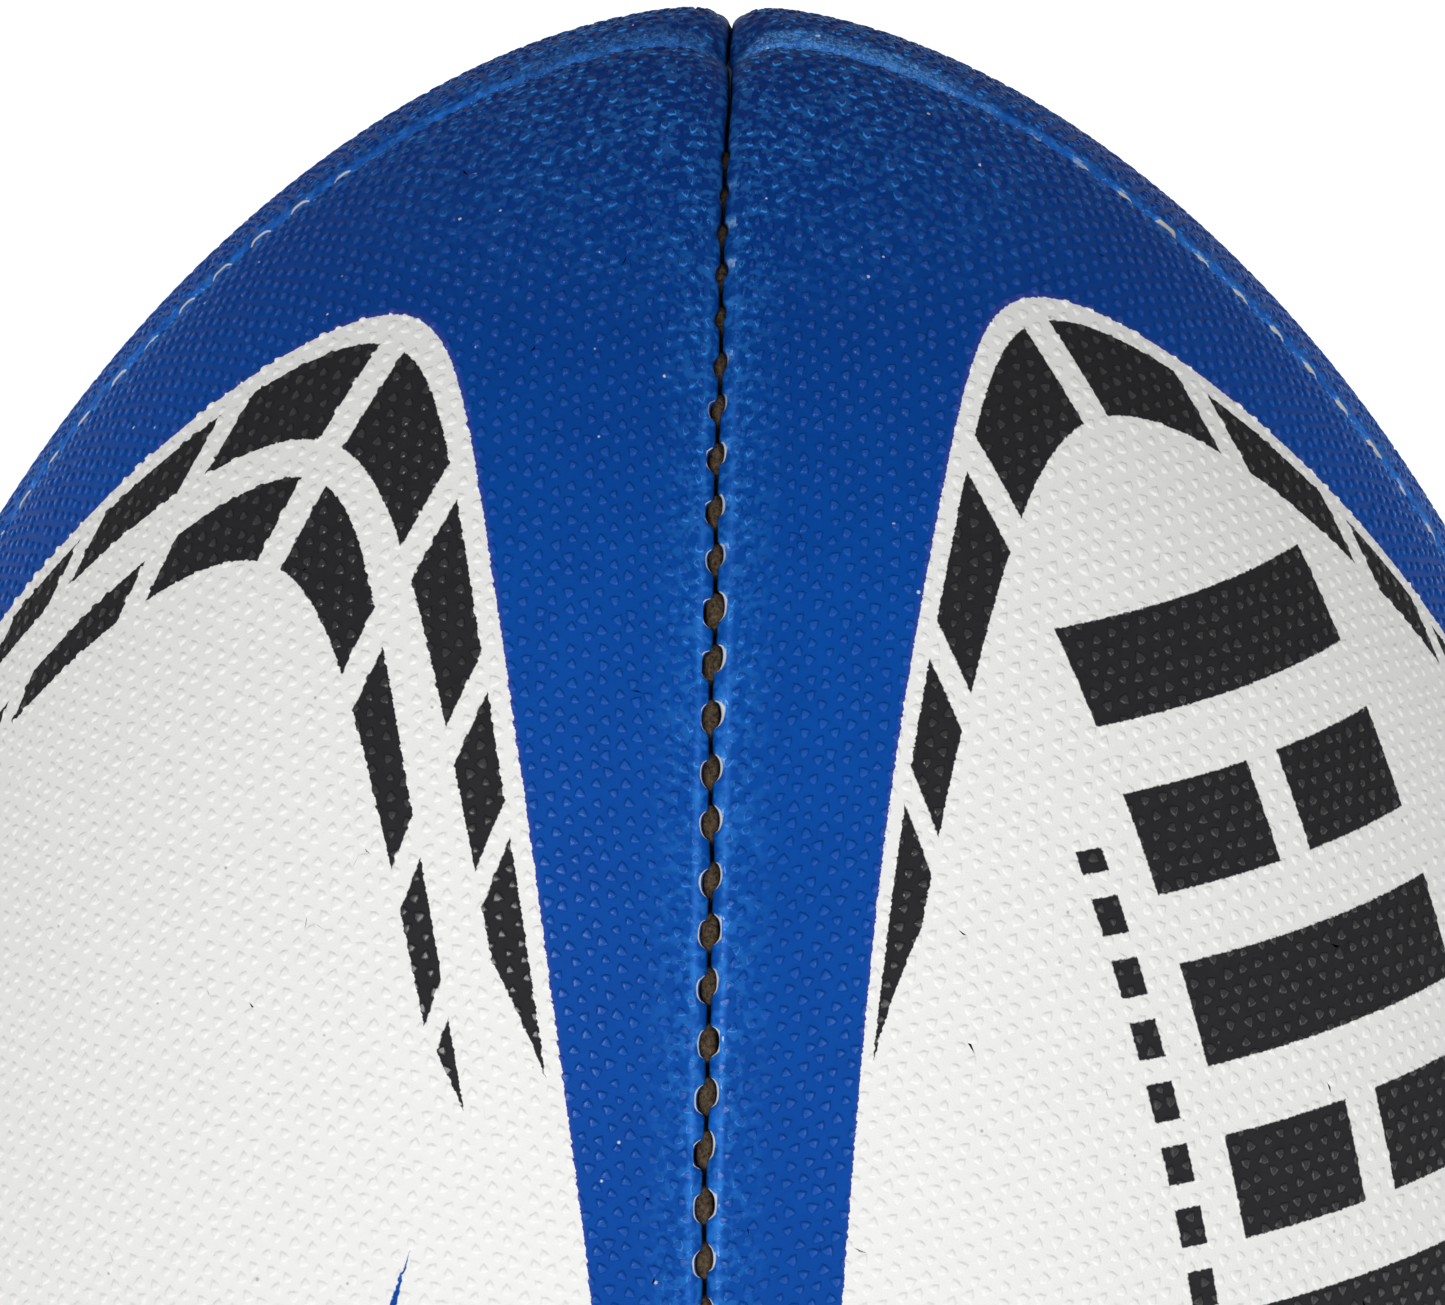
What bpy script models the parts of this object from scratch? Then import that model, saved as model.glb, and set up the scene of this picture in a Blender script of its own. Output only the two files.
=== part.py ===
"""Rugby ball: four stitched panel covers on bonded plies, a bladder and a replaceable valve.

Metres, +Z up along the long axis. The origin is the middle of the ball.
"""

import math

import bpy
import bmesh
from mathutils import Matrix, Vector

# Overall size of the inflated ball
BALL_LENGTH = 0.275
BALL_DIAMETER = 0.179
END_TAPER = 0.586

# Layers of the wall, from the outside in
COVER_THICKNESS = 0.0018
PLY_THICKNESS = 0.0004
PLY_COUNT = 3
BLADDER_THICKNESS = 0.0008

# Seams: panel edges turn in and a thread runs between them
THREAD_DIAMETER = 0.0006
STITCH_PITCH = 0.0048
EDGE_FOLD_RADIUS = 0.0012
EDGE_LIP_THICKNESS = 0.0018
THREAD_TOP_DEPTH = 0.0010
THREAD_WAVE_DEPTH = 0.0016

# Valve, on one of the rear panels
VALVE_PANEL_ANGLE = 45.0
VALVE_GRID_COLUMN = 6
INSERT_DIAMETER = 0.0054
INSERT_LENGTH = 0.0180
INSERT_RECESS = 0.0008
NEEDLE_CHANNEL_DIAMETER = 0.0010
HOUSING_WALL = 0.0020
HOUSING_FLANGE_RADIUS = 0.0110
HOUSING_FLANGE_THICKNESS = 0.0016

# Clearances between neighbouring parts
LAYER_GAP = 0.0003
SEAM_SIDE_GAP = 0.0003
INSERT_GAP = 0.0003
HOUSING_GAP = 0.0005
BLADDER_GAP = 0.0004

# Smoothness of the faceted solids
LENGTHWISE_STEPS = 16
PANEL_COLUMNS = 8
ROUND_SEGMENTS = 20

# Sizes that follow from the ones above
HALF_LENGTH = BALL_LENGTH / 2
RADIUS = BALL_DIAMETER / 2
SEAM_HALF_GAP = THREAD_DIAMETER / 2 + SEAM_SIDE_GAP
PLY_PITCH = PLY_THICKNESS + LAYER_GAP
WALL_DEPTH = COVER_THICKNESS + PLY_COUNT * PLY_PITCH
BLADDER_DEPTH = WALL_DEPTH + BLADDER_GAP
TIP_RADIUS = 3.3 * SEAM_HALF_GAP
PLY_TIP_RADIUS = 1.7 * (SEAM_HALF_GAP + EDGE_LIP_THICKNESS + LAYER_GAP) * math.sqrt(2)
HALF_PANEL = math.pi / 4
COLUMN_ANGLE = 2 * HALF_PANEL / PANEL_COLUMNS
COLUMN_SLOPE = math.tan(COLUMN_ANGLE / 2)

PANELS = {
    "front_right": -45.0,
    "rear_right": 45.0,
    "rear_left": 135.0,
    "front_left": -135.0,
}
SEAMS = {"front": -90.0, "right": 0.0, "rear": 90.0, "left": 180.0}


def profile(psi):
    """Outer surface at one station: distance from the axis, height and outward normal."""
    cosine = max(math.cos(psi), 1e-9)
    rho = RADIUS * cosine ** (2 * END_TAPER)
    height = HALF_LENGTH * math.sin(psi)
    d_rho = -RADIUS * 2 * END_TAPER * cosine ** (2 * END_TAPER - 1) * math.sin(psi)
    d_height = HALF_LENGTH * cosine
    length = math.hypot(d_rho, d_height)
    return rho, height, d_height / length, -d_rho / length


def psi_at_radius(rho):
    """Station angle at which the outer surface is this far from the axis."""
    return math.acos((rho / RADIUS) ** (1 / (2 * END_TAPER)))


def sunk(psi, depth):
    """Distance from the axis and height of the surface this deep under the outer one."""
    rho, height, normal_rho, normal_height = profile(psi)
    return rho - depth * normal_rho, height - depth * normal_height


def panel_point(centre, psi, depth, seam_distance, fraction):
    """Point of a panel: fraction runs from -1 to 1 between the two limits next to the seams."""
    rho, height = sunk(psi, depth)
    limit = HALF_PANEL - math.asin(min(seam_distance / rho, 0.7))
    angle = centre + fraction * limit
    return Vector((rho * math.cos(angle), rho * math.sin(angle), height))


def panel_row(centre, psi, depth, seam_distance):
    """Points across a panel at one station, equally spaced between its two limits."""
    steps = [2 * i / PANEL_COLUMNS - 1 for i in range(PANEL_COLUMNS + 1)]
    return [panel_point(centre, psi, depth, seam_distance, step) for step in steps]


def stations():
    """Station angles shared by every layer, so that their facets stay parallel."""
    tip = psi_at_radius(TIP_RADIUS)
    inner = psi_at_radius(PLY_TIP_RADIUS)
    middle = [inner * (2 * i / LENGTHWISE_STEPS - 1) for i in range(LENGTHWISE_STEPS + 1)]
    return [-tip] + middle + [tip]


def material(name, colour, roughness):
    shader = bpy.data.materials.new(name)
    shader.use_nodes = True
    principled = shader.node_tree.nodes["Principled BSDF"]
    principled.inputs["Base Color"].default_value = (*colour, 1)
    principled.inputs["Roughness"].default_value = roughness
    return shader


def add_object(name, mesh, shader, collection):
    thing = bpy.data.objects.new(name, mesh)
    thing.data.materials.append(shader)
    collection.objects.link(thing)
    return thing


def loft(name, rings, shader):
    """Closed body through equal rings of points, with a flat-fan cap at each end."""
    shape = bmesh.new()
    rows = [[shape.verts.new(point) for point in ring] for ring in rings]
    count = len(rows[0])
    for lower, upper in zip(rows, rows[1:]):
        for i in range(count):
            j = (i + 1) % count
            shape.faces.new((lower[i], lower[j], upper[j], upper[i]))
    for row in (rows[0], rows[-1]):
        half = count // 2
        for i in range(half - 1):
            corners = (row[i], row[i + 1], row[count - 2 - i], row[count - 1 - i])
            shape.faces.new(corners)
    bmesh.ops.recalc_face_normals(shape, faces=shape.faces)
    mesh = bpy.data.meshes.new(name)
    shape.to_mesh(mesh)
    shape.free()
    return add_object(name, mesh, shader, scene_parts)


def cover_ring(centre, psi):
    """Section across a cover: outer skin, turned edges and lips, then the inner skin."""
    rho = profile(psi)[0]
    room = rho * math.sin(HALF_PANEL) - SEAM_HALF_GAP
    fold = min(EDGE_FOLD_RADIUS, 0.45 * room)
    lip = min(EDGE_LIP_THICKNESS, 0.60 * room)
    bottom = WALL_DEPTH - LAYER_GAP
    edge = SEAM_HALF_GAP
    bend = [(fold * (1 - math.sin(a)), fold * (1 - math.cos(a))) for a in (0.9, math.pi / 2)]
    outer = panel_row(centre, psi, 0, edge + fold)
    inner = panel_row(centre, psi, COVER_THICKNESS, edge + lip)
    right = [panel_point(centre, psi, down, edge + across, 1) for across, down in bend]
    right.append(panel_point(centre, psi, bottom, edge, 1))
    right.append(panel_point(centre, psi, bottom, edge + lip, 1))
    left = [panel_point(centre, psi, bottom, edge + lip, -1)]
    left.append(panel_point(centre, psi, bottom, edge, -1))
    left += [panel_point(centre, psi, down, edge + across, -1) for across, down in bend[::-1]]
    return right + inner[::-1] + left + outer


def ply_ring(centre, psi, depth):
    """Section across one ply, which stops short of the turned lips of the cover."""
    edge = SEAM_HALF_GAP + EDGE_LIP_THICKNESS + LAYER_GAP
    outer = panel_row(centre, psi, depth, edge)
    inner = panel_row(centre, psi, depth + PLY_THICKNESS, edge)
    return outer + inner[::-1]


def turned(name, outline, shader, placement):
    """Body of revolution: an outline of (radius, height) points spun by a Screw modifier."""
    mesh = bpy.data.meshes.new(name)
    closed = [(i, (i + 1) % len(outline)) for i in range(len(outline))]
    mesh.from_pydata([(radius, 0, height) for radius, height in outline], closed, [])
    thing = add_object(name, mesh, shader, scene_parts)
    screw = thing.modifiers.new("spin", "SCREW")
    screw.axis = "Z"
    screw.angle = 2 * math.pi
    screw.steps = ROUND_SEGMENTS
    screw.render_steps = ROUND_SEGMENTS
    screw.use_merge_vertices = True
    screw.merge_threshold = 1e-5
    thing.matrix_world = placement
    return thing


def cutter(name, radius, top, bottom, placement):
    """Hidden cylinder along the valve axis, used to cut a hole through one part."""
    shape = bmesh.new()
    depth = bottom - top
    turn = placement @ Matrix.Translation((0, 0, -(top + bottom) / 2))
    bmesh.ops.create_cone(
        shape,
        cap_ends=True,
        segments=ROUND_SEGMENTS,
        radius1=radius,
        radius2=radius,
        depth=depth,
        matrix=turn @ Matrix.Rotation(0.07, 4, "Z"),
    )
    mesh = bpy.data.meshes.new(name)
    shape.to_mesh(mesh)
    shape.free()
    thing = bpy.data.objects.new(name, mesh)
    thing.hide_render = True
    thing.display_type = "WIRE"
    cutters.objects.link(thing)
    return thing


def cut(thing, tool):
    boolean = thing.modifiers.new("hole", "BOOLEAN")
    boolean.operation = "DIFFERENCE"
    boolean.solver = "EXACT"
    boolean.object = tool


for leftover in list(bpy.data.objects):
    bpy.data.objects.remove(leftover, do_unlink=True)

scene_parts = bpy.data.collections.new("parts")
bpy.context.scene.collection.children.link(scene_parts)
cutters = bpy.data.collections.new("cutters")
bpy.context.scene.collection.children.link(cutters)

rows = stations()
ply_rows = rows[1:-1]

# Covers of the four panels
panel_rubber = {}
for panel, direction in PANELS.items():
    panel_rubber[panel] = material(f"{panel}_rubber", (0.01, 0.09, 0.36), 0.55)
    rings = [cover_ring(math.radians(direction), psi) for psi in rows]
    loft(f"cover_{panel}", rings, panel_rubber[panel])

# Plies bonded under each cover
for number in range(PLY_COUNT):
    layer = ("outer", "middle", "inner")[number] if PLY_COUNT == 3 else f"layer{number + 1}"
    cloth = material(f"ply_{layer}_cloth", (0.62 - 0.06 * number, 0.58 - 0.06 * number, 0.48), 0.9)
    depth = COVER_THICKNESS + LAYER_GAP + number * PLY_PITCH
    for panel, direction in PANELS.items():
        rings = [ply_ring(math.radians(direction), psi, depth) for psi in ply_rows]
        loft(f"ply_{layer}_{panel}", rings, cloth)

# Bladder: its half outline spun round the long axis, open only at the valve
butyl = material("bladder_butyl", (0.05, 0.035, 0.03), 0.6)
skin = [sunk(psi, BLADDER_DEPTH) for psi in rows]
core = [sunk(psi, BLADDER_DEPTH + BLADDER_THICKNESS) for psi in rows[::-1]]
end_height = HALF_LENGTH - BLADDER_DEPTH
core_height = end_height - BLADDER_THICKNESS
half_outline = [(0, -end_height)] + skin + [(0, end_height), (0, core_height)] + core
half_outline.append((0, -core_height))
bladder_mesh = bpy.data.meshes.new("bladder")
last = len(half_outline) - 1
turn_at = half_outline.index((0, end_height))
edges = [(i, i + 1) for i in range(last) if i != turn_at]
bladder_mesh.from_pydata([(r, 0, z) for r, z in half_outline], edges, [])
bladder = add_object("bladder", bladder_mesh, butyl, scene_parts)
spin = bladder.modifiers.new("spin", "SCREW")
spin.axis = "Z"
spin.angle = 2 * math.pi
spin.steps = 4 * PANEL_COLUMNS
spin.render_steps = 4 * PANEL_COLUMNS
spin.use_merge_vertices = True
spin.merge_threshold = 1e-5

# Valve: its axis leaves the middle of the ball through a column of the panel grid
outer_limit = HALF_PANEL - math.asin((SEAM_HALF_GAP + EDGE_FOLD_RADIUS) / RADIUS)
column = 2 * VALVE_GRID_COLUMN / PANEL_COLUMNS - 1
valve_angle = math.radians(VALVE_PANEL_ANGLE) + column * outer_limit
mouth = Matrix.Rotation(valve_angle, 4, "Z") @ Matrix.Translation((RADIUS, 0, 0))
mouth = mouth @ Matrix.Rotation(math.pi / 2, 4, "Y")

bore = INSERT_DIAMETER / 2 + INSERT_GAP
neck = bore + HOUSING_WALL
neck_top = COVER_THICKNESS + LAYER_GAP + neck * COLUMN_SLOPE * 1.5
bladder_inside = BLADDER_DEPTH + BLADDER_THICKNESS
flange_top = bladder_inside + LAYER_GAP + HOUSING_FLANGE_RADIUS * COLUMN_SLOPE * 1.5
flange_bottom = flange_top + HOUSING_FLANGE_THICKNESS
housing_bottom = INSERT_RECESS + INSERT_LENGTH + HOUSING_GAP

housing_rubber = material("valve_housing_rubber", (0.02, 0.02, 0.022), 0.5)
housing_outline = [
    (bore, -neck_top),
    (neck, -neck_top),
    (neck, -flange_top),
    (HOUSING_FLANGE_RADIUS, -flange_top),
    (HOUSING_FLANGE_RADIUS, -flange_bottom),
    (neck, -flange_bottom),
    (bore + HOUSING_WALL / 2, -housing_bottom),
    (bore, -housing_bottom),
]
turned("valve_housing", housing_outline, housing_rubber, mouth)

insert_rubber = material("valve_insert_rubber", (0.55, 0.55, 0.53), 0.5)
insert_radius = INSERT_DIAMETER / 2
channel = NEEDLE_CHANNEL_DIAMETER / 2
insert_bottom = INSERT_RECESS + INSERT_LENGTH
insert_outline = [
    (2.2 * channel, -INSERT_RECESS - channel),
    (1.8 * channel + insert_radius / 2, -INSERT_RECESS),
    (insert_radius, -INSERT_RECESS),
    (insert_radius, -insert_bottom + insert_radius / 2),
    (insert_radius * 0.6, -insert_bottom),
    (channel, -insert_bottom),
    (channel, -INSERT_RECESS - 2 * channel),
]
turned("valve_insert", insert_outline, insert_rubber, mouth)

# Holes on the valve axis through the cover, the plies and the bladder
valve_panel = [name for name, direction in PANELS.items() if direction == VALVE_PANEL_ANGLE][0]
reach = WALL_DEPTH * 3
cover_tool = cutter("cover_hole", bore, -reach, reach, mouth)
wide_tool = cutter("housing_hole", neck + HOUSING_GAP, -reach, reach, mouth)
cut(bpy.data.objects[f"cover_{valve_panel}"], cover_tool)
for thing in list(scene_parts.objects):
    if thing.name.startswith("ply_") and thing.name.endswith(valve_panel):
        cut(thing, wide_tool)
cut(bladder, wide_tool)

# Threads: one waved cord in the gap of each seam
fine = 4000
limit = psi_at_radius(2 * PLY_TIP_RADIUS)
path = [limit * (2 * i / fine - 1) for i in range(fine + 1)]
seam_line = [Vector((*sunk(psi, THREAD_TOP_DEPTH), 0)) for psi in path]
lengths = [0.0]
for start, end in zip(seam_line, seam_line[1:]):
    lengths.append(lengths[-1] + (end - start).length)
stitches = int(lengths[-1] / STITCH_PITCH)
knots = []
reached = 0
for k in range(2 * stitches + 1):
    target = lengths[-1] * k / (2 * stitches)
    while reached < fine and lengths[reached] < target:
        reached += 1
    knots.append((path[reached], THREAD_TOP_DEPTH + (k % 2) * THREAD_WAVE_DEPTH))
linen = material("seam_thread_cord", (0.45, 0.40, 0.33), 0.8)
for seam, direction in SEAMS.items():
    angle = math.radians(direction)
    curve = bpy.data.curves.new(f"thread_{seam}", "CURVE")
    curve.dimensions = "3D"
    curve.resolution_u = 1
    curve.render_resolution_u = 1
    curve.twist_mode = "Z_UP"
    curve.bevel_mode = "ROUND"
    curve.bevel_depth = THREAD_DIAMETER / 2
    curve.bevel_resolution = 0
    curve.use_fill_caps = True
    spline = curve.splines.new("POLY")
    spline.points.add(len(knots) - 1)
    for point, (psi, depth) in zip(spline.points, knots):
        rho, height = sunk(psi, depth)
        point.co = (rho * math.cos(angle), rho * math.sin(angle), height, 1)
    add_object(f"thread_{seam}", curve, linen, scene_parts)
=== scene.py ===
import math

import bmesh
import bpy
import numpy as np
from mathutils import Matrix, Vector, noise


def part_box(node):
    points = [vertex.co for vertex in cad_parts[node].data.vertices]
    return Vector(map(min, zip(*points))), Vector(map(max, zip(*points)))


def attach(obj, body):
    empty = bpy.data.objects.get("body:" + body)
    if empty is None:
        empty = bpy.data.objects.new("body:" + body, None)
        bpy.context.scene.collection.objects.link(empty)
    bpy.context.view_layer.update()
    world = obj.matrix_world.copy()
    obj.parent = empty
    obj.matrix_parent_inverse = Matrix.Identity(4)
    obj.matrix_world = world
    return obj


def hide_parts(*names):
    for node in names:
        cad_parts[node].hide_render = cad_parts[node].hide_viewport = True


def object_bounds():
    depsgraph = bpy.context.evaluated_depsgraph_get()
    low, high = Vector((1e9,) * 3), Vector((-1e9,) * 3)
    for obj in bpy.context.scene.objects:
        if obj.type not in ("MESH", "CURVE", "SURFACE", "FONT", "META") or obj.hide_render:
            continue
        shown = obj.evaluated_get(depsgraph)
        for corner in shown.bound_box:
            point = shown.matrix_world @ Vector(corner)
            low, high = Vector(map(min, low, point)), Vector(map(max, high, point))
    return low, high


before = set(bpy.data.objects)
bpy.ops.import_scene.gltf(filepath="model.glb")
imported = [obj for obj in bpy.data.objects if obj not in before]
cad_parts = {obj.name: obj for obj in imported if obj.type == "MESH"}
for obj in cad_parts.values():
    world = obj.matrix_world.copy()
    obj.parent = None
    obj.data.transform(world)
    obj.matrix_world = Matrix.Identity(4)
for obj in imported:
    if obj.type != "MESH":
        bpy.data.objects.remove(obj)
cad_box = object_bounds()


# Bladder: butyl rubber, moulded in one piece and blown up through the valve.
# It lies under the plies, so only a matt, slightly mottled skin is needed.
class Wire:
    """A value inside a material; Python's operators on it add Math nodes."""

    def __init__(self, finish, socket):
        self.finish = finish
        self.socket = socket

    def math(self, operation, *others):
        sockets = {i: value for i, value in enumerate((self, *others))}
        return self.finish.add("ShaderNodeMath", {"operation": operation}, sockets)

    def __add__(self, other):
        return self.math("ADD", other)

    def __radd__(self, other):
        return self.math("ADD", other)

    def __sub__(self, other):
        return self.math("SUBTRACT", other)

    def __rsub__(self, other):
        return (self * -1) + other

    def __mul__(self, other):
        return self.math("MULTIPLY", other)

    def __rmul__(self, other):
        return self.math("MULTIPLY", other)

    def __truediv__(self, other):
        return self.math("DIVIDE", other)

    def __pow__(self, other):
        return self.math("POWER", other)

    def size(self):
        return self.math("ABSOLUTE")

    def root(self):
        return self.math("SQRT")

    def least(self, other):
        return self.math("MINIMUM", other)

    def most(self, other):
        return self.math("MAXIMUM", other)

    def repeat(self, length):
        return self.math("FLOORED_MODULO", length)

    def past(self, edge, width=0.1):
        """0 below the edge and 1 above it, over a ramp of the given width."""
        ramp = (self - edge) * (1 / width) + 0.5
        return ramp.most(0).least(1)

    def within(self, low, high, width=0.1):
        return self.past(low, width) * (1 - self.past(high, width))


class Finish:
    """A material under construction: its Principled shader and a way to add nodes."""

    def __init__(self, name, **constants):
        self.material = bpy.data.materials.new(name)
        self.material.use_nodes = True
        self.tree = self.material.node_tree
        self.surface = self.tree.nodes["Principled BSDF"]
        for socket, value in constants.items():
            self.surface.inputs[socket.replace("_", " ")].default_value = value

    def add(self, kind, settings=None, sockets=None, output=0):
        node = self.tree.nodes.new(kind)
        for key, value in (settings or {}).items():
            if key == "stops":
                ramp = node.color_ramp.elements
                while len(ramp) < len(value):
                    ramp.new(0.5)
                for stop, (place, colour) in zip(ramp, value):
                    stop.position = place
                    stop.color = (*colour, 1)
            else:
                setattr(node, key, value)
        for key, value in (sockets or {}).items():
            if isinstance(value, Wire):
                self.tree.links.new(value.socket, node.inputs[key])
            else:
                node.inputs[key].default_value = value
        return Wire(self, node.outputs[output])

    def place(self, scale=1.0):
        where = self.add("ShaderNodeTexCoord", output="Object")
        if scale == 1.0:
            return where
        return self.add("ShaderNodeVectorMath", {"operation": "SCALE"}, {0: where, "Scale": scale})

    def noise(self, per_metre, detail=2.0, rough=0.5):
        sockets = {"Vector": self.place(), "Scale": per_metre, "Detail": detail, "Roughness": rough}
        return self.add("ShaderNodeTexNoise", {}, sockets)

    def mixed(self, factor, first, second):
        settings = {"data_type": "RGBA"}
        inks = [(*ink, 1) if isinstance(ink, tuple) else ink for ink in (first, second)]
        return self.add("ShaderNodeMix", settings, {0: factor, 6: inks[0], 7: inks[1]}, output=2)

    def feed(self, **wires):
        for socket, wire in wires.items():
            self.tree.links.new(wire.socket, self.surface.inputs[socket.replace("_", " ")])

    def bump(self, height, distance, strength=1.0):
        sockets = {"Height": height, "Distance": distance, "Strength": strength}
        self.feed(Normal=self.add("ShaderNodeBump", {}, sockets))


def dress(node, finish):
    """Gives a CAD node's object one finished material."""
    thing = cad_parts[node]
    for slot in thing.material_slots:
        slot.material = finish.material


butyl = Finish("butyl", Roughness=0.62)
mottle = butyl.noise(90, 4.0)
butyl.feed(Base_Color=butyl.mixed(mottle, (0.035, 0.024, 0.020), (0.075, 0.055, 0.045)))
butyl.bump(butyl.noise(900, 3.0), 0.0002, 0.4)
dress("bladder", butyl)


# Valve: a moulded black housing bonded inside the bladder, with a replaceable
# pale rubber insert pushed into it. The insert has a needle channel.
housing_rubber = Finish("housing_rubber", Roughness=0.5)
grime = housing_rubber.noise(400, 3.0)
housing_rubber.feed(Base_Color=housing_rubber.mixed(grime, (0.012, 0.012, 0.013), (0.03, 0.03, 0.032)))
housing_rubber.bump(grime, 0.0001, 0.3)
dress("valve_housing", housing_rubber)

insert_rubber = Finish("insert_rubber", Roughness=0.48)
stain = insert_rubber.noise(500, 3.0)
insert_rubber.feed(Base_Color=insert_rubber.mixed(stain, (0.50, 0.49, 0.46), (0.66, 0.65, 0.62)))
insert_rubber.bump(insert_rubber.noise(2500, 2.0), 0.00005, 0.4)
dress("valve_insert", insert_rubber)


# Plies: rubberised polyester-cotton cloth, three layers bonded under each cover.
# Warp and weft are drawn by two crossed waves, finer than a millimetre.
PANELS = {"front_right": -45.0, "rear_right": 45.0, "rear_left": 135.0, "front_left": -135.0}
# Painted shade: each deeper ply is a darker copy of the same cloth, as if shaded by the plies over it.
for layer, painted_ply_shade in (("outer", 1.0), ("middle", 0.9), ("inner", 0.8)):
    cloth = Finish(f"ply_cloth_{layer}", Roughness=0.85)
    threads = []
    for side in ("X", "Z"):
        settings = {"bands_direction": side, "wave_profile": "SIN"}
        sockets = {"Vector": cloth.place(), "Scale": 420.0, "Distortion": 1.5, "Detail": 1.0}
        threads.append(cloth.add("ShaderNodeTexWave", settings, sockets, output=1))
    weave = threads[0] * threads[1]
    light = (0.66 * painted_ply_shade, 0.62 * painted_ply_shade, 0.52 * painted_ply_shade)
    dark = (0.44 * painted_ply_shade, 0.41 * painted_ply_shade, 0.34 * painted_ply_shade)
    cloth.feed(Base_Color=cloth.mixed(weave, dark, light))
    cloth.bump(weave, 0.0001, 0.6)
    for panel in PANELS:
        dress(f"ply_{layer}_{panel}", cloth)


# Panel covers: moulded rubber sheets with small rounded three-cornered pimples,
# cut to four gores, printed, and stretched over the plies with their edges turned in.
RADIUS = (cad_box[1][0] - cad_box[0][0]) / 2
HALF_LENGTH = cad_box[1][2] * 1.00075
TAPER = 0.586
QUARTER = math.pi / 4
PIMPLE_PITCH = 0.00174
PIMPLE_FOOT = 0.00056
PIMPLE_SLOPE = 0.00022
PIMPLE_HEIGHT = 0.00021
PIMPLE_CROWN = 0.00003
PRINT_FILL = 0.36
SKIN_MARGIN = 0.00106

fine_turn = np.linspace(0, math.pi / 2, 20001)
fine_rho = RADIUS * np.cos(fine_turn).clip(0) ** (2 * TAPER)
fine_height = HALF_LENGTH * np.sin(fine_turn)
fine_steps = np.hypot(np.diff(fine_rho), np.diff(fine_height))
fine_arc = np.concatenate([[0], np.cumsum(fine_steps)])
SEAM_REACH = float(fine_arc[-1])


def smooth_step(value):
    value = np.clip(value, 0, 1)
    return value * value * (3 - 2 * value)


def rho_at(along):
    """Radius of the ball at an arc length from its middle."""
    reach = np.clip(np.abs(along), 0, SEAM_REACH - 1e-5)
    return np.interp(reach, fine_arc, fine_rho)


def valley(from_tip, seam_distance):
    """How far the skin dips beside a seam, and where the four tips meet."""
    near_tip = np.exp(-((from_tip / 0.028) ** 2))
    deep = 0.00035 + 0.00085 * near_tip
    wide = 0.0014 + 0.0008 * near_tip
    dimple = 0.0031 * np.exp(-((from_tip / 0.0038) ** 1.5))
    return dimple + deep * np.exp(-np.abs(seam_distance / wide) ** 1.5)


def ball_skin(along, angle, lift, seam_distance):
    """Points of the outer skin: arc length from the middle, turn about Z, height above it."""
    reach = np.clip(np.abs(along), 0, SEAM_REACH - 1e-5)
    turn = np.interp(reach, fine_arc, fine_turn)
    cosine = np.cos(turn)
    slope = -RADIUS * 2 * TAPER * cosine ** (2 * TAPER - 1) * np.sin(turn)
    rise = HALF_LENGTH * cosine
    size = np.hypot(slope, rise)
    lift = lift - valley(SEAM_REACH - reach, seam_distance)
    rho = RADIUS * cosine ** (2 * TAPER) + lift * rise / size
    height = HALF_LENGTH * np.sin(turn) - lift * slope / size
    return np.stack([rho * np.cos(angle), rho * np.sin(angle), np.sign(along) * height], -1)


def row_slope(reach):
    step = 0.0005
    return (rho_at(reach + step) - rho_at(reach - step)) / (2 * step)


def past_outline(across, along):
    """True where a point of the flat sheet lies well outside the panel it is cut to."""
    reach = abs(along) + row_slope(abs(along)) / (2 * rho_at(along)) * across**2
    rho = rho_at(reach)
    too_wide = abs(across) > min(rho * QUARTER + 0.0028, rho_at(along) * QUARTER * 1.35 + 0.0035)
    return too_wide or abs(along) > SEAM_REACH - 0.001


def pimpled_sheet(seed):
    """Flat moulded sheet, in metres: X across the panel, Y along it, pimples towards +Z."""
    row_step = PIMPLE_PITCH * math.sqrt(3) / 2
    rows = 2 * math.ceil(SEAM_REACH / row_step)
    columns = 2 * math.ceil(1.1 * RADIUS * QUARTER / PIMPLE_PITCH)
    shape = bmesh.new()
    bmesh.ops.create_grid(shape, x_segments=columns, y_segments=rows, size=0.5)
    for vert in shape.verts:
        column = round((vert.co.x + 0.5) * columns)
        row = round((vert.co.y + 0.5) * rows)
        vert.co.x = (column - columns / 2 + 0.5 * (row % 2)) * PIMPLE_PITCH
        vert.co.y = (row - rows / 2 + 0.5) * row_step
    past = [vert for vert in shape.verts if past_outline(vert.co.x, vert.co.y)]
    bmesh.ops.delete(shape, geom=past, context="VERTS")
    bmesh.ops.triangulate(shape, faces=shape.faces, quad_method="SHORT_EDGE")
    for vert in shape.verts:
        drift = noise.noise_vector(Vector((vert.co.x * 520, vert.co.y * 520, seed)))
        vert.co += Vector((drift.x, drift.y, 0)) * 0.0005
    inner = [vert for vert in shape.verts if not vert.is_boundary]
    beveled = bmesh.ops.bevel(
        shape, geom=inner, offset=PIMPLE_FOOT, offset_type="OFFSET", affect="VERTICES",
        segments=1, profile=0.5, material=-1, clamp_overlap=False,
    )
    feet = beveled["faces"]
    for foot in feet:
        centre = foot.calc_center_median()
        draw = noise.noise_vector(Vector((centre.x * 9100, centre.y * 9100, seed + 5)))
        twist = Matrix.Rotation(draw.x * 1.6, 3, "Z")
        for corner, vert in enumerate(foot.verts):
            pull = 1.17 if corner % 2 else 0.83
            vert.co = centre + twist @ (vert.co - centre) * (pull * (1 + 0.28 * draw.y))
        for edge in foot.edges:
            edge.smooth = False
    bmesh.ops.inset_individual(
        shape, faces=feet, thickness=PIMPLE_SLOPE, depth=PIMPLE_HEIGHT, use_even_offset=True
    )
    bmesh.ops.poke(shape, faces=feet, offset=PIMPLE_CROWN)
    return shape


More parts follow.
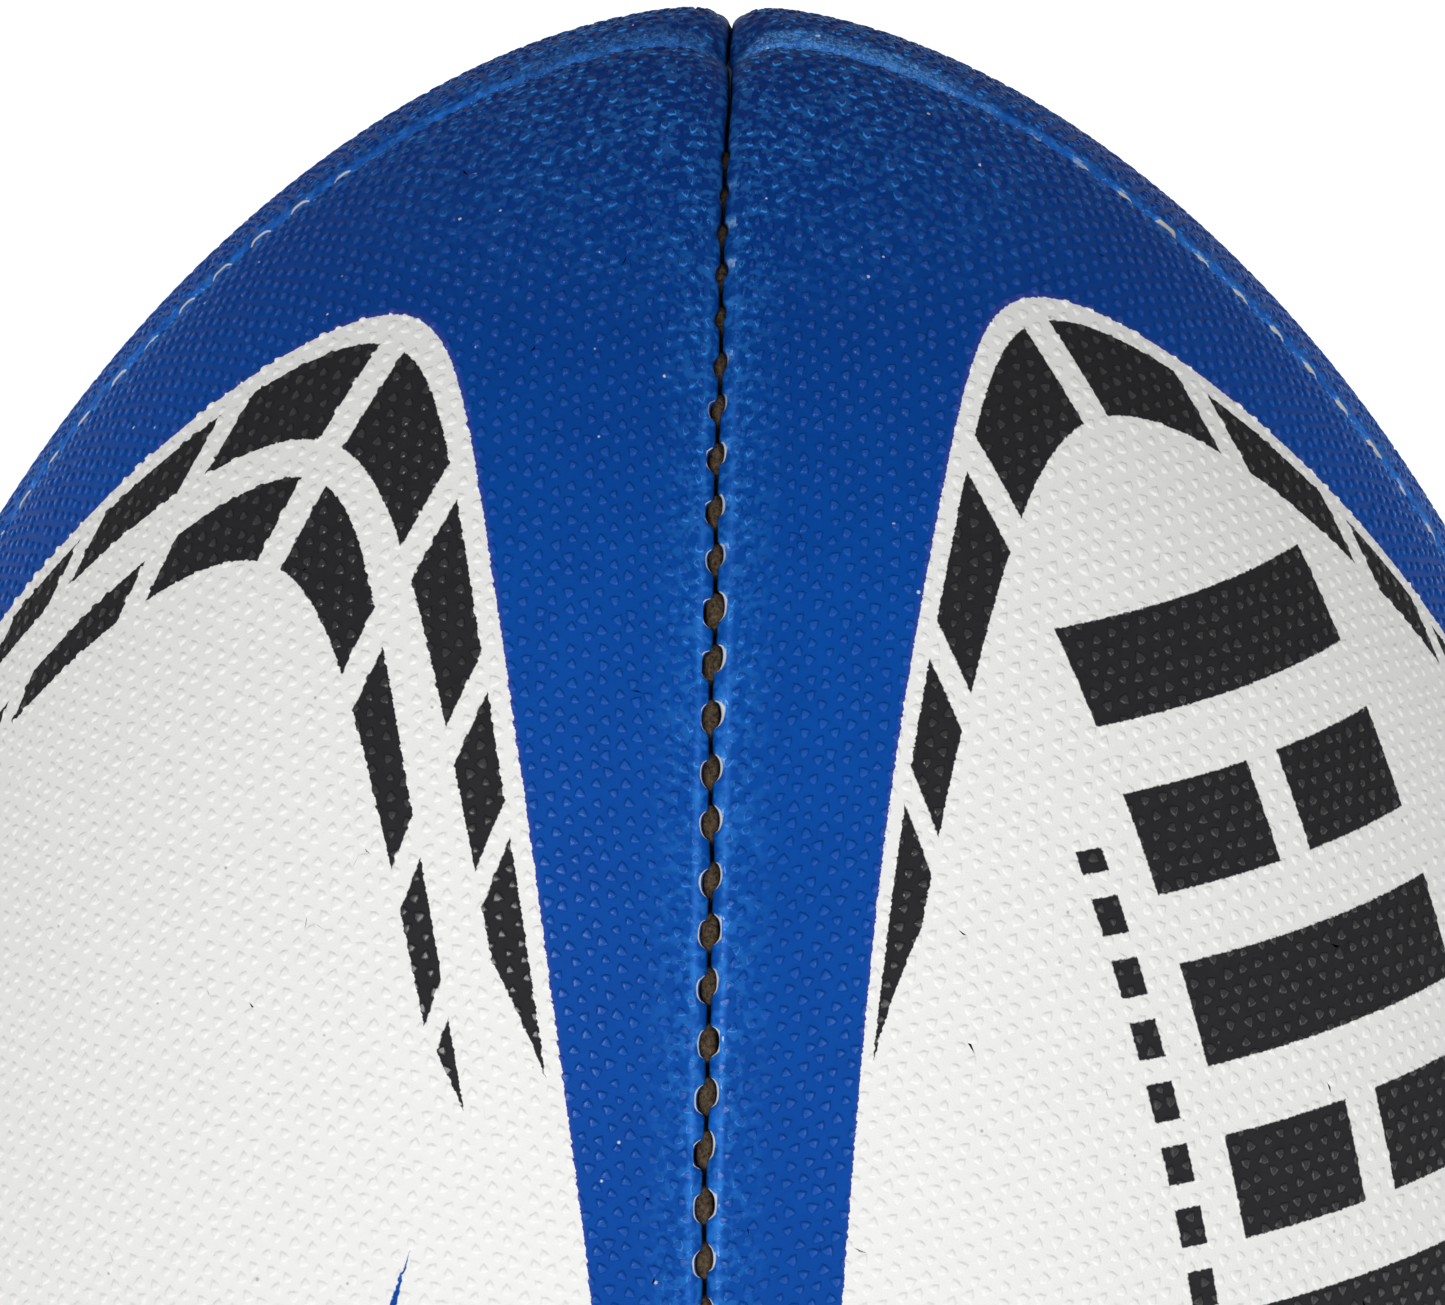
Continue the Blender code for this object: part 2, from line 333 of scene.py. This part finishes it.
def new_piece(name, shape):
    mesh = bpy.data.meshes.new(name)
    shape.to_mesh(mesh)
    shape.free()
    mesh.polygons.foreach_set("use_smooth", [True] * len(mesh.polygons))
    thing = bpy.data.objects.new(name, mesh)
    bpy.context.scene.collection.objects.link(thing)
    return thing


def keep_value(mesh, name, values):
    layer = mesh.attributes.new(name, "FLOAT", "POINT")
    layer.data.foreach_set("value", np.asarray(values, dtype=np.float32))


def arch_edge(from_centre, arch, apex, bluntness):
    """Arc length from the tip of one edge of a printed arch, in millimetres."""
    crown = (from_centre * from_centre + bluntness**2) ** 0.5 - bluntness
    return crown * arch["steep"] + (from_centre / 45) ** arch["power"] * arch["flare"] + apex


def field_edge(from_centre, arch):
    """Where the white print begins; its sides turn upright near the middle of the ball."""
    return arch_edge(from_centre, arch, arch["apex"], 10) + (from_centre / 58.5) ** 40 * 12


def lay_on_ball(thing, arch, valve_angle=None):
    """Takes a flat sheet to the ball and keeps the print's own coordinates on its points."""
    mesh = thing.data
    flat = np.empty(len(mesh.vertices) * 3)
    mesh.vertices.foreach_get("co", flat)
    across, along, lift = flat.reshape(-1, 3).T
    side = np.sign(along)
    reach = np.abs(along)
    reach = reach + row_slope(reach) / (2 * rho_at(reach)) * across**2
    angle = across / rho_at(reach)
    gap = rho_at(reach) * np.sin(QUARTER - np.abs(angle))
    fade = 0.12 + 0.88 * smooth_step((gap - SKIN_MARGIN) / 0.0011)
    if valve_angle is not None:
        from_valve = np.hypot((angle - valve_angle) * RADIUS, reach)
        fade = fade * smooth_step((from_valve - COLLAR_RADIUS) / 0.0008)
        keep_value(mesh, "from_valve", from_valve)
    from_field = (SEAM_REACH - reach) * 1000 - field_edge(np.abs(across * 1000 - arch["centre"]), arch)
    fade = fade * (1 - PRINT_FILL * smooth_step(from_field / 0.8))
    points = ball_skin(side * reach, angle, lift * fade, gap)
    mesh.vertices.foreach_set("co", points.ravel())
    keep_value(mesh, "rise", lift / (PIMPLE_HEIGHT + PIMPLE_CROWN))
    keep_value(mesh, "gap", gap * 1000)
    keep_value(mesh, "print_across", across * 1000)
    keep_value(mesh, "print_along", side * reach * 1000)


def trim_at_seams(thing):
    """Cuts a laid sheet straight along both seam planes, a margin away from them."""
    shape = bmesh.new()
    shape.from_mesh(thing.data)
    for sign in (1, -1):
        normal = Vector((-math.sin(QUARTER), sign * math.cos(QUARTER), 0))
        everything = shape.verts[:] + shape.edges[:] + shape.faces[:]
        cut = normal * -SKIN_MARGIN
        bmesh.ops.bisect_plane(shape, geom=everything, dist=1e-7, plane_co=cut, plane_no=normal, clear_outer=True)
    if "from_valve" in thing.data.attributes:
        layer = shape.verts.layers.float["from_valve"]
        hidden = [vert for vert in shape.verts if vert[layer] < COLLAR_RADIUS - 0.0012]
        bmesh.ops.delete(shape, geom=hidden, context="VERTS")
    shape.to_mesh(thing.data)
    shape.free()


STITCH_PITCH = 0.00477
HOLE_HALF_WIDTH = 0.00074
HOLE_HALF_LENGTH = 0.00128
HOLE_LEAN = 0.00026
LIP_PROFILE = [
    (1.50, 0.080), (1.18, 0.018), (1.02, 0.005), (0.90, 0.010), (0.78, 0.035), (0.66, 0.080), (0.54, 0.145),
    (0.43, 0.225), (0.33, 0.325), (0.24, 0.460), (0.17, 0.650), (0.13, 0.950), (0.11, 1.450), (0.11, 2.200), (0.13, 3.000),
]
SEAM_PHASE = {"front": 0.07, "right": 0.85, "rear": 0.4, "left": 0.2}


def stitch_places(seam):
    """Each punched hole of one seam: arc length from the middle, size and uneven width."""
    phase = SEAM_PHASE[seam]
    count = int((SEAM_REACH - 0.020) / STITCH_PITCH)
    places = []
    for k in range(-count, count + 1):
        slip = noise.noise_vector(Vector((k * 3.7, phase * 19, len(seam) * 2.3)))
        place = (k + phase) * STITCH_PITCH + slip.x * 0.0004
        growth = smooth_step((SEAM_REACH - abs(place) - 0.012) / (0.066 if seam == "front" else 0.040))
        places.append((place, (0.34 + 0.66 * growth) * (1 + 0.3 * slip.y), slip.z))
    return places


def wander(seam, along):
    """Sideways drift of a seam from its straight meridian."""
    drift = [noise.noise((a * 70, len(seam) * 1.7, 0)) + 0.5 * noise.noise((a * 190, len(seam), 5)) for a in along]
    return np.array(drift) * 0.00042


def edge_strip(name, seam, sign):
    """Turned edge along one side of a panel: fold, lip and half of each punched hole."""
    steps_per_stitch = 16
    length = SEAM_REACH - 0.0004
    along_count = int(2 * length / STITCH_PITCH * steps_per_stitch)
    across_count = len(LIP_PROFILE) - 1
    shape = bmesh.new()
    bmesh.ops.create_grid(shape, x_segments=across_count, y_segments=along_count, size=0.5)
    grid = np.array([vert.co[:2] for vert in shape.verts]) + 0.5
    column = np.rint(grid[:, 0] * across_count).astype(int)
    along = (grid[:, 1] * 2 - 1) * length
    profile = np.array(LIP_PROFILE) / 1000
    base_gap = profile[column, 0]
    sunk = -profile[column, 1]
    hole = np.zeros(len(along))
    fray = np.zeros(len(along))
    places = stitch_places(seam)
    grown = np.interp(along, [place for place, _, _ in places], [size for _, size, _ in places])
    for place, size, lean in places:
        place = place - sign * HOLE_LEAN * (1 + lean)
        reach = (along - place) / (HOLE_HALF_LENGTH * (0.4 + 0.6 * size))
        width = HOLE_HALF_WIDTH * size * (1 + 0.45 * lean * sign)
        bulge = width * np.sqrt(np.clip(1 - np.abs(reach) ** 2.2, 0, 1))
        hole = np.maximum(hole, bulge)
        rag = 0.55 - sign * 0.25 - lean * 0.5
        fray = np.maximum(fray, rag * np.exp(-(((along - place - 0.0005) / 0.0009) ** 2)))
    open_share = hole / HOLE_HALF_WIDTH
    cover = 1 - base_gap / profile[0, 0]
    rows = wander(seam, np.unique(along)) * sign
    drift = np.interp(along, np.unique(along), rows)
    gap = base_gap + hole * cover**0.9 + drift * cover
    sunk = sunk * (1 - 0.35 * open_share * np.exp(-((sunk / 0.0005) ** 2)))
    crease = np.array([noise.noise((a * 1400, g * 900, len(seam))) for a, g in zip(along, base_gap)])
    sunk = sunk + crease * 0.00006 * (base_gap > 0.0003) * (column > 1)
    room = rho_at(along) * math.sin(QUARTER) * 0.999
    gap = np.minimum(gap, room)
    angle = QUARTER - np.arcsin(np.clip(gap / rho_at(along), -0.5, math.sin(QUARTER)))
    points = ball_skin(along, angle * sign, sunk, gap)
    for vert, point in zip(shape.verts, points):
        vert.co = point
    bmesh.ops.recalc_face_normals(shape, faces=shape.faces)
    flat_part = max(shape.faces, key=lambda face: face.calc_center_median().xy.length)
    if flat_part.normal.dot(flat_part.calc_center_median()) < 0:
        bmesh.ops.reverse_faces(shape, faces=shape.faces)
    strip = new_piece(name, shape)
    keep_value(strip.data, "gap", base_gap * 1000)
    keep_value(strip.data, "depth", -sunk * 1000)
    keep_value(strip.data, "hole", open_share)
    keep_value(strip.data, "grown", grown)
    keep_value(strip.data, "fray", fray)
    keep_value(strip.data, "print_across", angle * sign * rho_at(along) * 1000)
    keep_value(strip.data, "print_along", along * 1000)
    return strip


CELLS = ((1.5, 12.6), (15.2, 24.8), (27.0, 32.8), (34.6, 45.6))
TIP_ARC = SEAM_REACH * 1000


def panel_rubber(name, arches, barred, worn_sides):
    """Printed rubber. Every print length is in millimetres on the laid panel."""
    rubber = Finish(name, Specular_IOR_Level=0.07, Coat_Roughness=0.18, Coat_IOR=1.5)
    value = {}
    for key in ("rise", "gap", "depth", "hole", "grown", "fray", "print_across", "print_along"):
        settings = {"attribute_name": key, "attribute_type": "GEOMETRY"}
        value[key] = rubber.add("ShaderNodeAttribute", settings, output=2)
    rise = value["rise"]
    tip_arc = TIP_ARC - value["print_along"].size()
    across = value["print_across"] + (rubber.noise(2600, 1.0) - 0.5) * 0.32 + rise.past(0.3, 0.5) * 0.06
    from_tip = tip_arc + (rubber.noise(3100, 1.0) - 0.5) * 0.32

    white = None
    black = None
    for arch in arches:
        side = (across - arch["centre"]).size()
        if white is None:
            field = field_edge(side, arch)
            white = (from_tip - field).past(0, 0.10) * (1 - side.past(59.5, 0.10))
            halo = (from_tip - field).within(-0.55, 0.1, 0.3)
        outer = arch_edge(side, arch, arch["apex"] + arch["drop"], 10)
        inner = arch_edge(side, arch, arch["apex"] + arch["depth"], 14).least(outer + (arch["end"] - side) * 0.78)
        band = (from_tip - outer).past(0, 0.12) * (inner - from_tip).past(0, 0.12)
        columns = None
        for low, high in CELLS:
            cell = side.within(low, min(high, arch["end"]), 0.12)
            columns = cell if columns is None else columns.most(cell)
        black = band * columns if black is None else black.most(band * columns)
    if barred:
        run = from_tip - 71.5
        off_middle = (across - 1.0).size()
        split = run.repeat(31.0).past(15.5, 0.1) * (1 - off_middle.past(1.9, 0.12))
        bars = run.repeat(15.5).within(0.3, 9.6, 0.12) * run.past(0, 0.12)
        bars = bars * (1 - off_middle.past(15.8, 0.12)) * (1 - split)
        dashes = from_tip.within(91.5, 300.0, 0.12) * from_tip.repeat(5.6).within(0.6, 4.0, 0.12)
        dashes = dashes * (1 - (across + 20.0).size().past(1.3, 0.12))
        black = black.most(bars).most(dashes)
    else:
        past_start = from_tip - 125.6
        taper = (past_start - past_start * past_start * (0.5 / (TIP_ARC - 125.6))) * 0.06
        wedge = (taper - (across.size() - 38.5 + taper * 1.5).size()).past(0, 0.10) * from_tip.past(125.6, 0.1)
        white = white * (1 - wedge)

    grain = rubber.noise(240, 3.0, 0.6)
    cloud = rubber.noise(45, 2.0)
    blue = rubber.mixed(grain, (0.0, 0.054, 0.305), (0.0, 0.077, 0.385))
    # Painted shade: the blue darkens towards each tip, standing in for the weaker light there.
    painted_tip_shade = (1 - tip_arc.past(36, 66)) * 0.90
    blue = rubber.mixed(painted_tip_shade, blue, (0.0, 0.018, 0.135))
    # Painted shade: the blue here, and the white print further down, darken towards the middle of the ball to offset
    # the light from the bright floor.
    painted_waist_shade = tip_arc.past(110, 50)
    blue = rubber.mixed(painted_waist_shade * 0.35, blue, (0.0, 0.040, 0.235))
    # Painted highlight: the pimple tops are lighter and more violet, mottled by the cloud noise.
    blue = rubber.mixed(rise.past(0.80, 0.4) * (0.02 + cloud * 0.16), blue, (0.02, 0.13, 0.54))
    # Painted shade: a dark ring in the crease round the foot of each pimple, in the blue and in the black print.
    painted_foot_shade = rise.within(0.02, 0.30, 0.1)
    blue = rubber.mixed(painted_foot_shade * 0.5, blue, (0.0, 0.022, 0.16))
    blue = rubber.mixed(halo * 0.45, blue, (0.045, 0.045, 0.30))

    left_wear, right_wear = worn_sides
    wear = value["print_across"].past(0, 1.0) * (right_wear - left_wear) + left_wear
    near_edge = 1 - value["gap"].past(1.4, 1.3)
    # Noise for the rubbed wear beside the seams and for the painted highlight along the fold.
    rub_and_sheen_noise = rubber.noise(420, 4.0, 0.7)
    fold = (rub_and_sheen_noise + near_edge * 0.30 - 1.06 + wear * 0.36).past(0, 0.30) * near_edge
    blue = rubber.mixed(fold * 0.8, blue, (0.005, 0.150, 0.66))
    # Painted highlight: a light line along the fold, 1.0 to 1.5 mm from the seam, broken up by the rubbing noise.
    fold_highlight_streak = value["gap"].within(1.0, 1.5, 0.4) * (rub_and_sheen_noise - 0.28).most(0) * 1.7 * tip_arc.past(48, 46)
    blue = rubber.mixed(fold_highlight_streak, blue, (0.03, 0.19, 0.68))
    crest = (1 - tip_arc.past(22, 9)) * (1 - value["gap"].past(2.7, 1.0)) * (wear - 0.65).most(0)
    frosting = 0.20 + rubber.noise(2600, 3.0, 0.8).past(0.54, 0.12) * 1.0
    blue = rubber.mixed((crest * frosting).least(1), blue, (0.16, 0.44, 0.88))
    chip = rubber.noise(420, 3.0, 0.7).past(0.64, 0.02) * crest.past(0.4, 0.1)
    blue = rubber.mixed(chip, blue, (0.66, 0.67, 0.68))
    ragged = value["fray"] + rubber.noise(1900, 4.0, 0.75) * 1.5
    top_side = (1 - value["gap"].past(1.30, 0.3)) * (1 - value["depth"].past(0.42, 0.2)) * value["grown"].least(1)
    blue = rubber.mixed((ragged - 1.25).past(0, 0.5) * top_side * 0.75, blue, (0.06, 0.30, 0.80))
    blue = rubber.mixed((ragged - 1.55).past(0, 0.3) * top_side * 0.75, blue, (0.50, 0.64, 0.84))
    ring = rise.within(0.05, 0.55, 0.25) * (1 - value["gap"].past(3.5, 4.5) * tip_arc.past(30, 24))
    arcs = ring * (rubber.noise(1100, 2.0) - 0.54).past(0, 0.12)
    blue = rubber.mixed(arcs * 0.75, blue, (0.04, 0.30, 0.80))
    frost = (rubber.noise(2300, 3.0, 0.75) + fold * 0.12 + wear * 0.05).past(0.80, 0.10) * near_edge
    blue = rubber.mixed(frost * 0.8, blue, (0.30, 0.52, 0.86))

    paper = rubber.mixed(grain, (0.72, 0.72, 0.705), (0.765, 0.765, 0.755))
    # Painted shade on the white print towards the middle of the ball.
    paper = rubber.mixed(painted_waist_shade * 0.4, paper, (0.64, 0.64, 0.63))
    soot = rubber.noise(600, 3.0)
    ink = rubber.mixed(soot, (0.016, 0.016, 0.018), (0.027, 0.027, 0.029))
    ink = rubber.mixed(painted_foot_shade * 0.6, ink, (0.006, 0.006, 0.007))

    colour = rubber.mixed(white, blue, paper)
    colour = rubber.mixed(black * white, colour, ink)
    rim_top = (1 - value["hole"].least(1)) * 0.34 + 0.07
    rim_width = 0.13 + (0 - value["print_across"]).past(0, 1.0) * 0.15
    rim_place = value["depth"] - rim_top
    rim = value["hole"].past(0.22, 0.15) * rim_place.past(0, 0.07) * (rim_width - rim_place).past(0, 0.07)
    rim = rim * (value["grown"] + rubber.noise(500, 2.0) * 0.5 - 0.95).past(0, 0.25)
    colour = rubber.mixed(rim, colour, (0.66, 0.64, 0.58))
    # Painted shade: the lips go near black where they sink deep into the seam.
    colour = rubber.mixed(value["depth"].past(0.55, 0.45), colour, (0.006, 0.008, 0.016))
    dust = rubber.add("ShaderNodeTexVoronoi", {"feature": "F1"}, {"Vector": rubber.place(), "Scale": 300.0})
    speck = (1 - dust.past(0.050, 0.02)) * rubber.noise(140, 2.0).past(0.53, 0.02)
    colour = rubber.mixed(speck * (1 - white) * 0.8, colour, (0.62, 0.66, 0.78))
    colour = rubber.mixed(speck * white * 0.5, colour, (0.16, 0.14, 0.12))

    rough = grain * 0.14 + 0.46 + fold * 0.1 + white * 0.06 - rise.past(0.5, 0.6) * 0.12
    shine = rise.past(0.55, 0.5) * (0.10 + cloud * 0.42 + black * white * 0.6) * (1 - white * 0.7 * (1 - black))
    shine = shine + fold * 0.12
    rubber.feed(Base_Color=colour, Roughness=rough, Coat_Weight=shine.least(1))
    skin_grain = rubber.noise(5200, 3.0, 0.6) + rubber.noise(1500, 2.0) * 0.6
    rubber.bump(skin_grain, 0.00006, 0.5)
    return rubber


# the printed arches: steep sides, apex and band depth from the tip, where the cells end
single_arch = [
    {"apex": 41.3, "drop": 2.6, "depth": 12.9, "steep": 1.5, "flare": 9.6, "power": 5.0, "end": 45.0, "centre": -0.2},
]
double_arch = [
    {"apex": 44.2, "drop": 3.2, "depth": 13.6, "steep": 1.5, "flare": 7.3, "power": 4.0, "end": 45.3, "centre": 0.9},
    {"apex": 61.4, "drop": 0.0, "depth": 8.5, "steep": 1.55, "flare": 10.0, "power": 4.0, "end": 38.6, "centre": 1.4},
]
PANEL_SEAMS = {
    "front_right": ("front", "right"),
    "rear_right": ("right", "rear"),
    "rear_left": ("rear", "left"),
    "front_left": ("left", "front"),
}
PANEL_PRINT = {
    "front_right": (single_arch, True, (0.35, 0.45)),
    "rear_right": (double_arch, False, (1.2, 0.4)),
    "rear_left": (single_arch, True, (0.4, 0.88)),
    "front_left": (double_arch, False, (0.45, 0.25)),
}
COLLAR_RADIUS = 0.0049
valve_low, valve_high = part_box("valve_insert")
valve_middle = (valve_low + valve_high) / 2
VALVE_TURN = math.atan2(valve_middle.y, valve_middle.x)

for number, (panel, direction) in enumerate(PANELS.items()):
    spin = Matrix.Rotation(math.radians(direction), 4, "Z")
    rubber = panel_rubber(f"{panel}_rubber", *PANEL_PRINT[panel])
    valve_angle = VALVE_TURN - math.radians(direction) if panel == "rear_right" else None
    pieces = []
    whole = pimpled_sheet(number * 11.3)
    for half, sign in (("top", 1), ("bottom", -1)):
        part = whole.copy()
        other = [face for face in part.faces if face.calc_center_median().y * sign < 0]
        bmesh.ops.delete(part, geom=other, context="FACES")
        loose = [vert for vert in part.verts if not vert.link_faces]
        bmesh.ops.delete(part, geom=loose, context="VERTS")
        skin = new_piece(f"cover_skin_{panel}_{half}", part)
        lay_on_ball(skin, PANEL_PRINT[panel][0][0], valve_angle)
        trim_at_seams(skin)
        pieces.append(skin)
    whole.free()
    for seam, sign in zip(PANEL_SEAMS[panel], (-1, 1)):
        pieces.append(edge_strip(f"cover_edge_{panel}_{seam}", seam, sign))
    for piece in pieces:
        piece.data.transform(spin)
        piece.data.materials.append(rubber.material)
        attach(piece, "ball")
        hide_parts(f"cover_{panel}")


# Valve collar: a plain ring moulded with the panel round the valve hole. Its skirt
# runs under the pimpled sheet and its inner wall goes down to the housing.
HOLE_RADIUS = 0.0030
COLLAR_STEPS = 48
collar_profile = (
    (HOLE_RADIUS, -0.0022), (HOLE_RADIUS, -0.0002), (HOLE_RADIUS + 0.00015, 0.00005), (HOLE_RADIUS + 0.0004, 0.00018),
    (0.0041, 0.00018), (0.0046, 0.0001), (0.0050, -0.00002), (0.0054, -0.0002),
)
ring = bmesh.new()
outline = [ring.verts.new((radius, 0, height)) for radius, height in collar_profile]
rim = [ring.edges.new(pair) for pair in zip(outline, outline[1:])]
bmesh.ops.spin(
    ring, geom=outline + rim, cent=(0, 0, 0), axis=(0, 0, 1), angle=2 * math.pi, steps=COLLAR_STEPS, use_merge=True
)
bmesh.ops.remove_doubles(ring, verts=ring.verts, dist=1e-6)
for vert in ring.verts:
    vert.co.z += RADIUS - vert.co.y**2 / (2 * RADIUS) - vert.co.x**2 / (3.2 * RADIUS)
bmesh.ops.recalc_face_normals(ring, faces=ring.faces)
top = max(ring.faces, key=lambda face: face.calc_center_median().z)
if top.normal.z < 0:
    bmesh.ops.reverse_faces(ring, faces=ring.faces)
collar = new_piece("valve_collar", ring)
aim = Vector((math.cos(VALVE_TURN), math.sin(VALVE_TURN), 0)).to_track_quat("Z", "Y").to_matrix().to_4x4()
collar.data.transform(aim)
collar_rubber = Finish("collar_rubber", Specular_IOR_Level=0.3)
scuff = collar_rubber.noise(800, 3.0)
collar_rubber.feed(
    Base_Color=collar_rubber.mixed(scuff, (0.72, 0.72, 0.70), (0.80, 0.80, 0.78)), Roughness=scuff * 0.2 + 0.4
)
collar_rubber.bump(collar_rubber.noise(4200, 2.0), 0.00005, 0.4)
collar.data.materials.append(collar_rubber.material)
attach(collar, "ball")
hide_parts("cover_rear_right")


# Seam threads: waxed brown cord, saddle stitched through the punched holes. It
# fills each hole just under the skin and runs hidden between the lips elsewhere.
cord = Finish("waxed_cord", Roughness=0.8, Specular_IOR_Level=0.2)
strands = cord.noise(2500, 4.0, 0.78)
cord.feed(Base_Color=cord.mixed(strands.past(0.52, 0.34), (0.008, 0.005, 0.003), (0.155, 0.105, 0.060)))
cord.bump(strands, 0.0004, 0.9)
SEAMS = {"front": -90.0, "right": 0.0, "rear": 90.0, "left": 180.0}
CORD_WAVE = ((-0.5, 0.30, 2.6), (-0.32, 0.5, 1.9), (-0.22, 0.85, 1.30), (-0.1, 0.92, 1.18), (0.0, 0.92, 1.15),
             (0.1, 0.92, 1.18), (0.22, 0.85, 1.30), (0.32, 0.5, 1.9))
for seam, direction in SEAMS.items():
    along, depth, girth = [], [], []
    for place, size, lean in stitch_places(seam):
        for offset, radius, down in CORD_WAVE:
            along.append(place + offset * STITCH_PITCH)
            depth.append(down / 1000 + 0.0004 * (1 - size))
            girth.append(radius * (0.45 + 0.55 * size))
    along = np.array(along)
    angle = math.radians(direction) - wander(seam, along) / rho_at(along)
    points = ball_skin(along, angle, -np.array(depth), np.zeros(len(along)))
    curve = bpy.data.curves.new(f"seam_thread_{seam}", "CURVE")
    curve.dimensions = "3D"
    curve.bevel_depth = 0.001
    curve.bevel_resolution = 2
    curve.use_fill_caps = True
    spline = curve.splines.new("POLY")
    spline.points.add(len(points) - 1)
    for knot, point, radius in zip(spline.points, points, girth):
        knot.co = (*point, 1)
        knot.radius = radius
    thread = bpy.data.objects.new(f"seam_thread_{seam}", curve)
    bpy.context.scene.collection.objects.link(thread)
    curve.materials.append(cord.material)
    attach(thread, "ball")
    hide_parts(f"thread_{seam}")


# Table, lights and camera: a pale self-lit floor under the upright ball, soft lamps
# to the left and right, and a long lens looking a little down on it.
floor_shape = bmesh.new()
bmesh.ops.create_grid(floor_shape, x_segments=8, y_segments=8, size=6.0)
bmesh.ops.translate(floor_shape, verts=floor_shape.verts, vec=(0, 2, cad_box[0][2] - 0.002))
floor = new_piece("floor", floor_shape)
pale = Finish("pale_floor", Roughness=0.9, Emission_Color=(1, 1, 1, 1), Emission_Strength=0.68)
pale.feed(Base_Color=pale.mixed(pale.noise(3, 2.0), (0.90, 0.90, 0.90), (0.93, 0.93, 0.93)))
floor.data.materials.append(pale.material)

world = bpy.data.worlds.new("studio")
bpy.context.scene.world = world
world.use_nodes = True
world.node_tree.nodes["Background"].inputs["Color"].default_value = (1, 1, 1, 1)
world.node_tree.nodes["Background"].inputs["Strength"].default_value = 0.36


def lamp(name, place, size, watts):
    light = bpy.data.lights.new(name, "AREA")
    light.shape = "SQUARE"
    light.size = size
    light.energy = watts
    thing = bpy.data.objects.new(name, light)
    thing.location = place
    thing.rotation_euler = (-Vector(place)).to_track_quat("-Z", "Y").to_euler()
    bpy.context.scene.collection.objects.link(thing)


lamp("key_light", (-1.05, -1.75, 0.80), 0.9, 18.5)
lamp("fill_light", (1.25, -1.75, 0.50), 1.4, 15.5)

distance = 1.347
lift_angle = 0.41563
swing = 0.01195
tilt = 0.05378
roll = -0.01195
back = Vector((math.sin(swing) * math.cos(lift_angle), -math.cos(swing) * math.cos(lift_angle), math.sin(lift_angle)))
side = Vector((math.cos(swing), math.sin(swing), 0))
ahead = -back
ahead.rotate(Matrix.Rotation(tilt, 3, side))
side.rotate(Matrix.Rotation(roll, 3, ahead))
above = side.cross(ahead)
lens = bpy.data.cameras.new("camera")
lens.sensor_width = 36
lens.lens = 360.9
lens.clip_end = 50
camera = bpy.data.objects.new("camera", lens)
camera.matrix_world = Matrix((side, above, -ahead)).transposed().to_4x4()
camera.location = back * distance
bpy.context.scene.collection.objects.link(camera)
bpy.context.scene.camera = camera
bpy.context.scene.view_settings.view_transform = "Standard"
